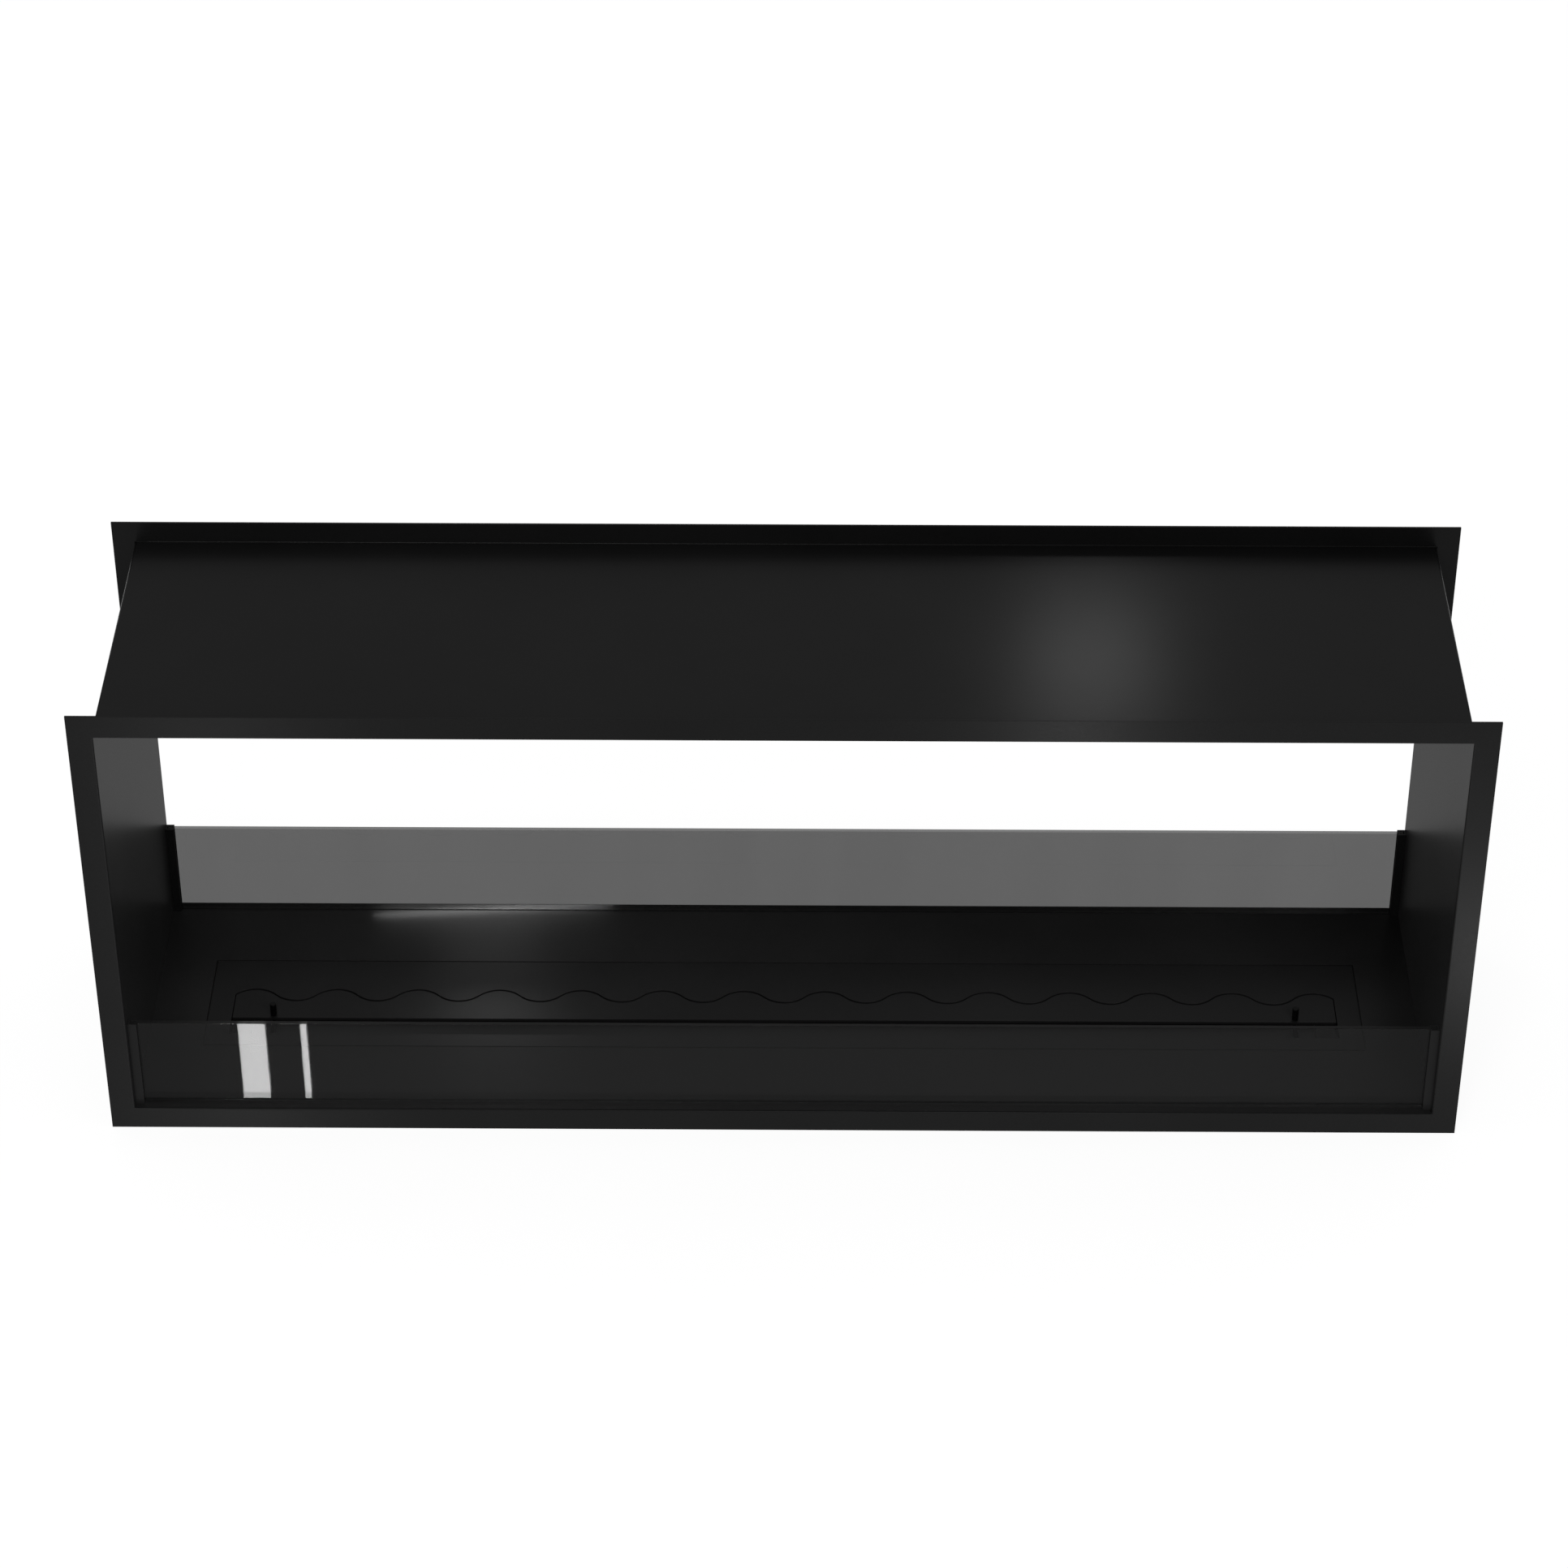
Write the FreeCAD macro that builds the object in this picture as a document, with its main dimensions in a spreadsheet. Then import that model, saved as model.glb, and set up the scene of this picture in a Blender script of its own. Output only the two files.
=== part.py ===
"""See-through bioethanol fireplace insert: folded steel sleeve, two guard panes and a lift-out burner.

Frame: millimetres, +Z up, front facing -Y, X to the right. The origin is the centre of the footprint,
level with the lower edges of the two flange frames.
"""
import FreeCAD
import Part
import Sketcher
import math
import os

doc = FreeCAD.newDocument("fireplace")
sizes = doc.addObject("Spreadsheet::Sheet", "Sizes")

DIMENSIONS = [
    # sleeve and flange frames
    ("overall_width", 1200.0),
    ("overall_height", 450.0),
    ("overall_depth", 300.0),
    ("flange_reach", 20.0),
    ("sheet", 2.0),
    ("frame_edge_radius", 1.4),
    ("frame_rebate", 0.5),
    ("corner_radius", 1.8),
    # guard panes and the channels that hold them
    ("pane_thickness", 4.0),
    ("front_pane_height", 91.0),
    ("rear_pane_height", 95.5),
    ("pane_fit", 0.1),
    ("pane_end_gap", 0.5),
    ("channel_depth", 8.0),
    ("channel_width", 8.0),
    ("seat_pad_height", 0.5),
    ("seat_pad_length", 5.0),
    ("channel_setback", 6.0),
    # burner plate, its opening and the floor cut-out
    ("burner_width", 1054.0),
    ("burner_depth", 122.0),
    ("cutout_gap", 1.2),
    ("opening_width", 1011.4),
    ("opening_front", 44.5),
    ("wave_mean", 12.4),
    ("wave_height", 8.1),
    ("crest_count", 14.0),
    # fuel tank and what stands in it
    ("tank_width", 1024.0),
    ("tank_depth", 105.0),
    ("tank_wall", 1.5),
    ("tank_height", 18.5),
    ("tank_corner_radius", 3.0),
    ("deck_width", 1010.0),
    ("deck_depth", 98.0),
    ("deck_height", 13.0),
    ("deck_sheet", 1.5),
    ("flame_slot_width", 900.0),
    ("flame_slot_front", 11.0),
    ("flame_slot_rear", 23.0),
    ("grille_width", 920.0),
    ("grille_front", 14.0),
    ("grille_rear", 26.0),
    ("grille_sheet", 1.0),
    ("grille_slot_length", 20.0),
    ("grille_slot_pitch", 25.0),
    ("grille_slot_count", 36.0),
    ("front_row_near", 5.5),
    ("front_row_far", 2.5),
    ("middle_row_near", 4.5),
    ("middle_row_far", 7.5),
    ("rear_row_near", 14.5),
    ("rear_row_far", 17.5),
    ("wool_width", 900.0),
    ("wool_depth", 64.0),
    ("wool_height", 10.0),
    # slide lid and its guides
    ("lid_thickness", 3.0),
    ("lid_front", 22.0),
    ("lid_wave_mean", 10.2),
    ("lid_side_gap", 0.8),
    ("lid_travel", 22.0),
    ("guide_width", 18.0),
    ("guide_length", 52.0),
    ("guide_height", 2.95),
    ("guide_outer_edge", 503.0),
    ("guide_front", 43.0),
    # knobs and the nuts that keep the lid down
    ("knob_radius", 3.0),
    ("knob_height", 12.5),
    ("knob_chamfer", 0.3),
    ("knob_offset_across", 467.5),
    ("knob_offset_front", 17.0),
    ("stem_radius", 2.0),
    ("stem_hole_radius", 2.05),
    ("nut_flats", 7.0),
    ("nut_height", 3.2),
    ("nut_gap", 0.1),
    ("guide_slot_half_width", 2.2),
    ("guide_slot_spare", 2.0),
    # ledges under the floor panel that carry the burner
    ("ledge_thickness", 2.0),
    ("ledge_lap", 5.0),
    ("ledge_width", 19.0),
    ("ledge_half_length", 542.0),
]

DERIVED = [
    ("half_width", "overall_width / 2"),
    ("half_depth", "overall_depth / 2"),
    ("flange_band", "flange_reach + sheet"),
    ("inner_half_width", "half_width - flange_band"),
    ("outer_half_width", "half_width - flange_reach"),
    ("ceiling", "overall_height - flange_band"),
    ("sleeve_top", "overall_height - flange_reach"),
    ("panel_half_depth", "half_depth - sheet + frame_rebate"),
    ("slot_width", "pane_thickness + 2 * pane_fit"),
    ("channel_half_depth", "channel_depth / 2"),
    ("slot_half_width", "slot_width / 2"),
    ("channel_y", "half_depth - channel_setback - channel_half_depth"),
    ("front_channel_height", "seat_pad_height + front_pane_height"),
    ("rear_channel_height", "seat_pad_height + rear_pane_height"),
    ("pane_half_width", "inner_half_width - sheet - pane_end_gap"),
    ("pane_bottom", "flange_band + seat_pad_height"),
    ("front_pane_top", "pane_bottom + front_pane_height"),
    ("rear_pane_top", "pane_bottom + rear_pane_height"),
    ("pane_outer_face", "channel_y + pane_thickness / 2"),
    ("pane_inner_face", "channel_y - pane_thickness / 2"),
    ("web_face", "inner_half_width - sheet"),
    ("right_pad_start", "web_face - seat_pad_length"),
    ("burner_half_width", "burner_width / 2"),
    ("burner_half_depth", "burner_depth / 2"),
    ("cutout_half_width", "burner_half_width + cutout_gap"),
    ("cutout_half_depth", "burner_half_depth + cutout_gap"),
    ("opening_half_width", "opening_width / 2"),
    ("half_wave", "opening_width / (2 * crest_count - 1)"),
    ("wave_pitch", "2 * half_wave"),
    ("crest_span", "(crest_count - 1) * wave_pitch"),
    ("trough_count", "crest_count - 1"),
    ("trough_span", "(crest_count - 2) * wave_pitch"),
    ("first_inflection", "opening_half_width - half_wave"),
    ("second_inflection", "opening_half_width - wave_pitch"),
    ("wave_radius", "half_wave * half_wave / (8 * wave_height) + wave_height / 2"),
    ("tank_half_width", "tank_width / 2"),
    ("tank_half_depth", "tank_depth / 2"),
    ("tank_inner_half_width", "tank_half_width - tank_wall"),
    ("tank_inner_half_depth", "tank_half_depth - tank_wall"),
    ("tank_inner_height", "tank_height - tank_wall"),
    ("tank_bottom", "flange_band - sheet - tank_height"),
    ("tank_floor", "tank_bottom + tank_wall"),
    ("deck_half_depth", "deck_depth / 2"),
    ("deck_inner_half_depth", "deck_half_depth - deck_sheet"),
    ("deck_leg", "deck_height - deck_sheet"),
    ("deck_top", "tank_floor + deck_height"),
    ("flame_slot_half_width", "flame_slot_width / 2"),
    ("grille_half_width", "grille_width / 2"),
    ("grille_slot_span", "grille_slot_pitch * (grille_slot_count - 1)"),
    ("grille_slot_start", "(grille_slot_span + grille_slot_length) / 2"),
    ("grille_slot_end", "grille_slot_start - grille_slot_length"),
    ("wool_half_width", "wool_width / 2"),
    ("wool_half_depth", "wool_depth / 2"),
    ("lid_bottom", "flange_band - lid_thickness"),
    ("lid_half_width", "opening_half_width - lid_side_gap"),
    ("lid_trim", "opening_half_width + half_wave"),
    ("lid_trim_depth", "lid_front + lid_wave_mean + half_wave"),
    ("guide_inner_edge", "guide_outer_edge - guide_width"),
    ("guide_slot_inner", "knob_offset_across - guide_slot_half_width"),
    ("guide_slot_outer", "knob_offset_across + guide_slot_half_width"),
    ("guide_slot_front", "knob_offset_front + lid_travel + guide_slot_spare"),
    ("guide_slot_rear", "knob_offset_front - guide_slot_spare"),
    ("stem_length", "flange_band - deck_top + deck_sheet + nut_gap + nut_height"),
    ("knob_straight", "knob_height - knob_chamfer"),
    ("knob_top_radius", "knob_radius - knob_chamfer"),
    ("nut_bottom", "flange_band - stem_length"),
    ("nut_corner_radius", "nut_flats / sqrt(3)"),
    ("ledge_bottom", "flange_band - sheet - ledge_thickness"),
    ("ledge_length", "2 * ledge_half_length"),
    ("ledge_inner_y", "burner_half_depth - ledge_lap"),
    ("ledge_outer_y", "ledge_inner_y + ledge_width"),
    ("side_ledge_length", "2 * ledge_inner_y"),
    ("side_ledge_inner_x", "burner_half_width - ledge_lap"),
    ("side_ledge_width", "ledge_half_length - side_ledge_inner_x"),
]

UP = FreeCAD.Vector(0, 0, 1)
ORIGIN_POINT = (-1, 1)
parts = []


def fill_sheet():
    """Write the driving sizes as numbers and the sizes that follow from them as formulas."""
    row = 1
    for alias, value in DIMENSIONS:
        sizes.set("A%d" % row, alias)
        sizes.set("B%d" % row, "%g" % value)
        sizes.setAlias("B%d" % row, alias)
        row += 1
    for alias, formula in DERIVED:
        sizes.set("A%d" % row, alias)
        sizes.set("B%d" % row, "=" + formula)
        sizes.setAlias("B%d" % row, alias)
        row += 1
    doc.recompute()


def size(bound):
    """Number behind a sheet alias; a leading minus sign gives its negative and "axis" gives nought."""
    if bound == "axis":
        return 0.0
    value = float(sizes.get(bound.lstrip("-")))
    return -value if bound.startswith("-") else value


def bind(obj, prop, bound):
    """Drive a property of obj from a sheet alias, with an optional leading minus sign."""
    sign = "-" if bound.startswith("-") else ""
    obj.setExpression(prop, sign + "Sizes." + bound.lstrip("-"))


def place(obj, x=None, y=None, z=None):
    """Drive the position of obj from sheet aliases."""
    for axis, bound in (("x", x), ("y", y), ("z", z)):
        if bound is not None:
            bind(obj, "Placement.Base." + axis, bound)


def keep(obj, label):
    """Give a finished sub-part its name and list it for export."""
    obj.Label = label
    parts.append(obj)
    return obj


def new_body(label):
    """Empty PartDesign body that is exported under its label."""
    body = doc.addObject("PartDesign::Body", label)
    return keep(body, label)


def new_sketch(body, name, plane="XY_Plane", height=None):
    """Sketch on one of the body's own origin planes, raised by a sheet alias where one is given."""
    sketch = body.newObject("Sketcher::SketchObject", name)
    support = [feature for feature in body.Origin.OriginFeatures if feature.Role == plane][0]
    sketch.AttachmentSupport = [(support, "")]
    sketch.MapMode = "FlatFace"
    if height is not None:
        bind(sketch, "AttachmentOffset.Base.z", height)
    return sketch


def limit(sketch, kind, vertex, bound):
    """Fix one coordinate of a sketch vertex at the signed sheet size, or put it on the sketch axis."""
    if bound == "axis":
        axis = -2 if kind == "DistanceX" else -1
        sketch.addConstraint(Sketcher.Constraint("PointOnObject", *vertex, axis))
        return
    first, second = ORIGIN_POINT, vertex
    if bound.startswith("-"):
        first, second = vertex, ORIGIN_POINT
    value = size(bound.lstrip("-"))
    index = sketch.addConstraint(Sketcher.Constraint(kind, *first, *second, value))
    sketch.setExpression("Constraints[%d]" % index, "Sizes." + bound.lstrip("-"))


def add_outline(sketch, corners):
    """Closed outline of straight lines; every corner is a pair of signed sheet aliases."""
    points = [FreeCAD.Vector(size(x), size(y), 0) for x, y in corners]
    first = sketch.GeometryCount
    count = len(points)
    for index in range(count):
        sketch.addGeometry(Part.LineSegment(points[index], points[(index + 1) % count]), False)
    for index in range(count):
        following = first + (index + 1) % count
        sketch.addConstraint(Sketcher.Constraint("Coincident", first + index, 2, following, 1))
    for index, (x, y) in enumerate(corners):
        limit(sketch, "DistanceX", (first + index, 1), x)
        limit(sketch, "DistanceY", (first + index, 1), y)


def add_rectangle(sketch, left, right, low, high):
    """Rectangle between four signed sheet aliases."""
    add_outline(sketch, [(left, low), (right, low), (right, high), (left, high)])


def add_circle(sketch, x, y, radius):
    """Circle with its centre and radius on sheet aliases."""
    circle = Part.Circle(FreeCAD.Vector(size(x), size(y), 0), UP, size(radius))
    index = sketch.addGeometry(circle, False)
    constraint = sketch.addConstraint(Sketcher.Constraint("Radius", index, size(radius)))
    sketch.setExpression("Constraints[%d]" % constraint, "Sizes." + radius)
    limit(sketch, "DistanceX", (index, 3), x)
    limit(sketch, "DistanceY", (index, 3), y)


def add_wave_segment(sketch, left, right, chord, upward):
    """Circular segment between a chord and its arc: one crest (upward) or one trough of the wave."""
    radius = size("wave_radius")
    start = FreeCAD.Vector(size(left), size(chord), 0)
    end = FreeCAD.Vector(size(right), size(chord), 0)
    half_angle = math.asin((end.x - start.x) / 2 / radius)
    side = 1 if upward else -1
    facing = side * math.pi / 2
    centre = (start + end) / 2 + FreeCAD.Vector(0, side * (size("wave_height") - radius), 0)
    circle = Part.Circle(centre, UP, radius)
    arc = sketch.addGeometry(Part.ArcOfCircle(circle, facing - half_angle, facing + half_angle), False)
    line = sketch.addGeometry(Part.LineSegment(start, end), False)
    arc_left, arc_right = (2, 1) if upward else (1, 2)
    sketch.addConstraint(Sketcher.Constraint("Coincident", arc, arc_left, line, 1))
    sketch.addConstraint(Sketcher.Constraint("Coincident", arc, arc_right, line, 2))
    constraint = sketch.addConstraint(Sketcher.Constraint("Radius", arc, radius))
    sketch.setExpression("Constraints[%d]" % constraint, "Sizes.wave_radius")
    limit(sketch, "DistanceX", (line, 1), left)
    limit(sketch, "DistanceY", (line, 1), chord)
    limit(sketch, "DistanceX", (line, 2), right)
    limit(sketch, "DistanceY", (line, 2), chord)


def pad(body, sketch, length, reverse=False, midplane=False):
    """Pad a sketch by a sheet alias."""
    feature = body.newObject("PartDesign::Pad", sketch.Name + "_pad")
    feature.Profile = sketch
    bind(feature, "Length", length)
    feature.Reversed = reverse
    feature.SideType = "Symmetric" if midplane else "One side"
    sketch.Visibility = False
    doc.recompute()
    return feature


def pocket(body, sketch, length=None, reverse=False, midplane=False):
    """Cut a sketch by a sheet alias, or through everything, and check that material was removed."""
    before = body.Shape.Volume
    feature = body.newObject("PartDesign::Pocket", sketch.Name + "_pocket")
    feature.Profile = sketch
    feature.Reversed = reverse
    feature.SideType = "Symmetric" if midplane else "One side"
    if length is None:
        feature.Type = "ThroughAll"
    else:
        bind(feature, "Length", length)
    sketch.Visibility = False
    doc.recompute()
    if not body.Shape.Volume < before:
        raise RuntimeError("%s removed nothing" % feature.Name)
    return feature


def repeat_along_x(body, feature, span, count):
    """Repeat a pad or pocket along +X over a span given by a sheet alias."""
    pattern = body.newObject("PartDesign::LinearPattern", feature.Name + "_row")
    pattern.Originals = [feature]
    direction = [axis for axis in body.Origin.OriginFeatures if axis.Role == "X_Axis"][0]
    pattern.Direction = (direction, [""])
    body.Tip = pattern
    bind(pattern, "Length", span)
    bind(pattern, "Occurrences", count)
    doc.recompute()
    return pattern


def fillet(body, feature, radius, wanted):
    """Round the edges of a feature whose middle point satisfies a test."""
    names = []
    for index, edge in enumerate(feature.Shape.Edges):
        middle = edge.valueAt((edge.FirstParameter + edge.LastParameter) / 2)
        if wanted(middle):
            names.append("Edge%d" % (index + 1))
    rounded = body.newObject("PartDesign::Fillet", feature.Name + "_fillet")
    rounded.Base = (feature, names)
    bind(rounded, "Radius", radius)
    doc.recompute()


def near(value, target):
    """True where two lengths agree to a hundredth of a millimetre."""
    return abs(value - target) < 0.01


def box(label, length, width, height, x, y, z):
    """Part box with its three sizes and its low corner on sheet aliases."""
    block = doc.addObject("Part::Box", label)
    bind(block, "Length", length)
    bind(block, "Width", width)
    bind(block, "Height", height)
    place(block, x, y, z)
    return block


def make_frame(label, front, y):
    """One-piece flange ring: opening edges rounded outside, a shallow rebate for the sleeve inside."""
    body = new_body(label)
    ring = new_sketch(body, label + "_ring", "XZ_Plane")
    add_rectangle(ring, "-half_width", "half_width", "axis", "overall_height")
    add_rectangle(ring, "-inner_half_width", "inner_half_width", "flange_band", "ceiling")
    plate = pad(body, ring, "sheet", reverse=front)

    def on_opening(point):
        outer_face = near(point.y, 0)
        beside = near(abs(point.x), size("inner_half_width"))
        above = near(point.z, size("ceiling")) and abs(point.x) < 1
        below = near(point.z, size("flange_band")) and abs(point.x) < 1
        return outer_face and (beside or above or below)

    fillet(body, plate, "frame_edge_radius", on_opening)
    rebate = new_sketch(body, label + "_rebate", "XZ_Plane", height="-sheet" if front else "sheet")
    add_rectangle(rebate, "-outer_half_width", "outer_half_width", "flange_reach", "sleeve_top")
    pocket(body, rebate, "frame_rebate", reverse=front)
    place(body, y=y)


def make_top_panel():
    """Flat ceiling of the sleeve with rounded long corners."""
    body = new_body("top_panel")
    sheet = new_sketch(body, "top_sheet")
    add_rectangle(sheet, "-outer_half_width", "outer_half_width", "-panel_half_depth", "panel_half_depth")
    plate = pad(body, sheet, "sheet")

    def long_corner(point):
        return near(abs(point.x), size("outer_half_width")) and near(point.z, size("sheet"))

    fillet(body, plate, "corner_radius", long_corner)
    place(body, z="ceiling")


def make_floor_panel():
    """Floor of the sleeve with the cut-out for the burner."""
    body = new_body("floor_panel")
    sheet = new_sketch(body, "floor_sheet")
    add_rectangle(sheet, "-outer_half_width", "outer_half_width", "-panel_half_depth", "panel_half_depth")
    add_rectangle(sheet, "-cutout_half_width", "cutout_half_width", "-cutout_half_depth", "cutout_half_depth")
    plate = pad(body, sheet, "sheet")

    def long_corner(point):
        return near(abs(point.x), size("outer_half_width")) and near(point.z, 0)

    fillet(body, plate, "corner_radius", long_corner)
    place(body, z="flange_reach")


def make_side_panel(label, x):
    """Side of the sleeve between floor and ceiling."""
    body = new_body(label)
    sheet = new_sketch(body, label + "_sheet", "YZ_Plane")
    add_rectangle(sheet, "-panel_half_depth", "panel_half_depth", "flange_band", "ceiling")
    pad(body, sheet, "sheet")
    place(body, x=x)


def make_channel(label, x, y, height, turned):
    """U-channel that holds one end of a pane; its web is welded to the side panel."""
    body = new_body(label)
    profile = new_sketch(body, label + "_profile")
    add_outline(profile, [
        ("axis", "-channel_half_depth"),
        ("channel_width", "-channel_half_depth"),
        ("channel_width", "-slot_half_width"),
        ("sheet", "-slot_half_width"),
        ("sheet", "slot_half_width"),
        ("channel_width", "slot_half_width"),
        ("channel_width", "channel_half_depth"),
        ("axis", "channel_half_depth"),
    ])
    pad(body, profile, height)
    if turned:
        body.Placement.Rotation = FreeCAD.Rotation(UP, 180)
    place(body, x, y, "flange_band")


def make_pane(label, y, top):
    """Rectangular guard pane standing in its two channels."""
    body = new_body(label)
    sheet = new_sketch(body, label + "_sheet", "XZ_Plane")
    add_rectangle(sheet, "-pane_half_width", "pane_half_width", "pane_bottom", top)
    pad(body, sheet, "pane_thickness", midplane=True)
    place(body, y=y)


def make_seat_pads(label, y_low):
    """Pair of small pads in the foot of the channels that the pane stands on."""
    left = box(label + "_left", "seat_pad_length", "pane_thickness", "seat_pad_height",
               "-web_face", y_low, "flange_band")
    right = box(label + "_right", "seat_pad_length", "pane_thickness", "seat_pad_height",
                "right_pad_start", y_low, "flange_band")
    pair = doc.addObject("Part::Compound", label)
    pair.Links = [left, right]
    keep(pair, label)


def make_ledges():
    """Four strips welded under the floor panel that the burner plate hangs on."""
    keep(box("front_burner_ledge", "ledge_length", "ledge_width", "ledge_thickness",
             "-ledge_half_length", "-ledge_outer_y", "ledge_bottom"), "front_burner_ledge")
    keep(box("rear_burner_ledge", "ledge_length", "ledge_width", "ledge_thickness",
             "-ledge_half_length", "ledge_inner_y", "ledge_bottom"), "rear_burner_ledge")
    keep(box("left_burner_ledge", "side_ledge_width", "side_ledge_length", "ledge_thickness",
             "-ledge_half_length", "-ledge_inner_y", "ledge_bottom"), "left_burner_ledge")
    keep(box("right_burner_ledge", "side_ledge_width", "side_ledge_length", "ledge_thickness",
             "side_ledge_inner_x", "-ledge_inner_y", "ledge_bottom"), "right_burner_ledge")


def make_burner_plate():
    """Burner plate flush with the floor; its opening has one wavy long edge made of equal arcs."""
    body = new_body("burner_plate")
    sheet = new_sketch(body, "plate_sheet")
    add_rectangle(sheet, "-burner_half_width", "burner_half_width", "-burner_half_depth", "burner_half_depth")
    add_rectangle(sheet, "-opening_half_width", "opening_half_width", "-opening_front", "wave_mean")
    pad(body, sheet, "sheet")
    trough = new_sketch(body, "plate_trough")
    add_wave_segment(trough, "-first_inflection", "-second_inflection", "wave_mean", False)
    trough_pad = pad(body, trough, "sheet")
    repeat_along_x(body, trough_pad, "trough_span", "trough_count")
    crest = new_sketch(body, "plate_crest")
    add_wave_segment(crest, "-opening_half_width", "-first_inflection", "wave_mean", True)
    crest_pocket = pocket(body, crest, reverse=True)
    repeat_along_x(body, crest_pocket, "crest_span", "crest_count")
    place(body, z="flange_reach")


def make_fuel_tank():
    """Open-topped tank welded to the underside of the burner plate."""
    body = new_body("fuel_tank")
    outline = new_sketch(body, "tank_outline")
    add_rectangle(outline, "-tank_half_width", "tank_half_width", "-tank_half_depth", "tank_half_depth")
    block = pad(body, outline, "tank_height")

    def upright_corner(point):
        return near(point.z, size("tank_height") / 2)

    fillet(body, block, "tank_corner_radius", upright_corner)
    hollow = new_sketch(body, "tank_hollow", height="tank_height")
    add_rectangle(hollow, "-tank_inner_half_width", "tank_inner_half_width",
                  "-tank_inner_half_depth", "tank_inner_half_depth")
    pocket(body, hollow, "tank_inner_height")
    place(body, z="tank_bottom")


def make_lid_deck():
    """Folded deck standing in the tank: its legs reach the tank floor and its top carries the lid."""
    body = new_body("lid_deck")
    profile = new_sketch(body, "deck_profile", "YZ_Plane")
    add_outline(profile, [
        ("-deck_half_depth", "axis"),
        ("-deck_inner_half_depth", "axis"),
        ("-deck_inner_half_depth", "deck_leg"),
        ("deck_inner_half_depth", "deck_leg"),
        ("deck_inner_half_depth", "axis"),
        ("deck_half_depth", "axis"),
        ("deck_half_depth", "deck_height"),
        ("-deck_half_depth", "deck_height"),
    ])
    pad(body, profile, "deck_width", midplane=True)
    slots = new_sketch(body, "deck_slots", height="deck_leg")
    add_rectangle(slots, "-flame_slot_half_width", "flame_slot_half_width",
                  "-flame_slot_front", "flame_slot_rear")
    add_rectangle(slots, "-guide_slot_outer", "-guide_slot_inner", "-guide_slot_front", "-guide_slot_rear")
    add_rectangle(slots, "guide_slot_inner", "guide_slot_outer", "-guide_slot_front", "-guide_slot_rear")
    pocket(body, slots, reverse=True)
    ends = new_sketch(body, "deck_slot_ends", height="deck_leg")
    for x in ("-knob_offset_across", "knob_offset_across"):
        for y in ("-guide_slot_front", "-guide_slot_rear"):
            add_circle(ends, x, y, "guide_slot_half_width")
    pocket(body, ends, reverse=True)
    place(body, z="tank_floor")


def make_flame_grille():
    """Slotted sheet spot-welded on the deck over the flame slot."""
    body = new_body("flame_grille")
    sheet = new_sketch(body, "grille_sheet_outline")
    add_rectangle(sheet, "-grille_half_width", "grille_half_width", "-grille_front", "grille_rear")
    pad(body, sheet, "grille_sheet")
    slots = new_sketch(body, "grille_slots")
    add_rectangle(slots, "-grille_slot_start", "-grille_slot_end", "-front_row_near", "-front_row_far")
    add_rectangle(slots, "-grille_slot_start", "-grille_slot_end", "middle_row_near", "middle_row_far")
    add_rectangle(slots, "-grille_slot_start", "-grille_slot_end", "rear_row_near", "rear_row_far")
    column = pocket(body, slots, reverse=True)
    repeat_along_x(body, column, "grille_slot_span", "grille_slot_count")
    place(body, z="deck_top")


def make_wool_pad():
    """Ceramic wool slab on the tank floor under the flame slot."""
    keep(box("ceramic_wool_pad", "wool_width", "wool_depth", "wool_height",
             "-wool_half_width", "-wool_half_depth", "tank_floor"), "ceramic_wool_pad")


def make_guides():
    """Two strips on the deck that the ends of the lid slide on."""
    keep(box("left_lid_guide", "guide_width", "guide_length", "guide_height",
             "-guide_outer_edge", "-guide_front", "deck_top"), "left_lid_guide")
    keep(box("right_lid_guide", "guide_width", "guide_length", "guide_height",
             "guide_inner_edge", "-guide_front", "deck_top"), "right_lid_guide")


def make_slide_lid():
    """Sliding lid; its rear edge repeats the wave of the burner plate."""
    body = new_body("slide_lid")
    sheet = new_sketch(body, "lid_sheet")
    add_rectangle(sheet, "-opening_half_width", "opening_half_width", "-lid_front", "lid_wave_mean")
    pad(body, sheet, "lid_thickness")
    crest = new_sketch(body, "lid_crest")
    add_wave_segment(crest, "-opening_half_width", "-first_inflection", "lid_wave_mean", True)
    crest_pad = pad(body, crest, "lid_thickness")
    repeat_along_x(body, crest_pad, "crest_span", "crest_count")
    trough = new_sketch(body, "lid_trough")
    add_wave_segment(trough, "-first_inflection", "-second_inflection", "lid_wave_mean", False)
    trough_pocket = pocket(body, trough, reverse=True)
    repeat_along_x(body, trough_pocket, "trough_span", "trough_count")
    ends = new_sketch(body, "lid_ends")
    add_rectangle(ends, "-lid_trim", "-lid_half_width", "-lid_trim_depth", "lid_trim_depth")
    add_rectangle(ends, "lid_half_width", "lid_trim", "-lid_trim_depth", "lid_trim_depth")
    pocket(body, ends, reverse=True)
    holes = new_sketch(body, "lid_holes")
    for x in ("-knob_offset_across", "knob_offset_across"):
        add_circle(holes, x, "-knob_offset_front", "stem_hole_radius")
    pocket(body, holes, reverse=True)
    place(body, z="lid_bottom")


def make_knob(label, x):
    """Plain round knob with a threaded stem that reaches down through the lid and the deck slot."""
    body = new_body(label)
    profile = new_sketch(body, label + "_profile", "XZ_Plane")
    add_outline(profile, [
        ("axis", "-stem_length"),
        ("stem_radius", "-stem_length"),
        ("stem_radius", "axis"),
        ("knob_radius", "axis"),
        ("knob_radius", "knob_straight"),
        ("knob_top_radius", "knob_height"),
        ("axis", "knob_height"),
    ])
    turned = body.newObject("PartDesign::Revolution", label + "_turned")
    turned.Profile = profile
    turned.ReferenceAxis = (profile, ["V_Axis"])
    turned.Angle = 360
    profile.Visibility = False
    doc.recompute()
    place(body, x, "-knob_offset_front", "flange_band")


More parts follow.
